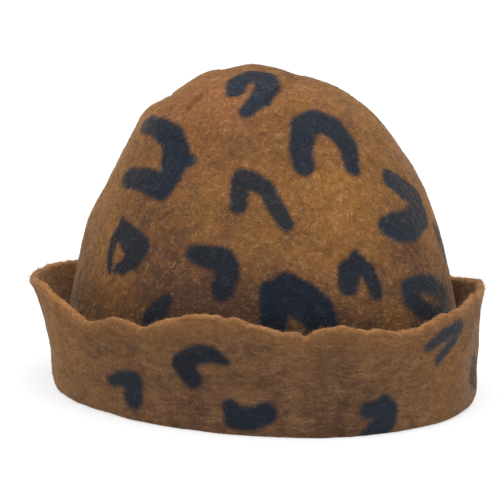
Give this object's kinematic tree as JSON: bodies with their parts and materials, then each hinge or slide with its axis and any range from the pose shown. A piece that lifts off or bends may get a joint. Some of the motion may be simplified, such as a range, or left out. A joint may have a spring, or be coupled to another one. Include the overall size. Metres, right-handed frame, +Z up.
{
  "type": "sauna hat",
  "caption": "Seamless wool-felt sauna hat: domed crown, deep turned-up wavy brim, open head hollow below, and dark animal-print marks on a caramel ground.",
  "frame": {"origin": "on the surface that the hat stands on, at the middle of its outline seen from above", "axes": "+Z up, through the crown; -Y towards the wearer's face; +X is the side that shows at the right when the face side is looked at; the oval is longest along Y"},
  "size_m": [0.208, 0.2264, 0.157],
  "materials": {
    "wool_felt": "matt wet-felted wool with a soft nap, caramel brown with feathered navy-black marks"
  },
  "bodies": {
    "root": {"felt_hat": "wool_felt"}
  },
  "joints": []
}
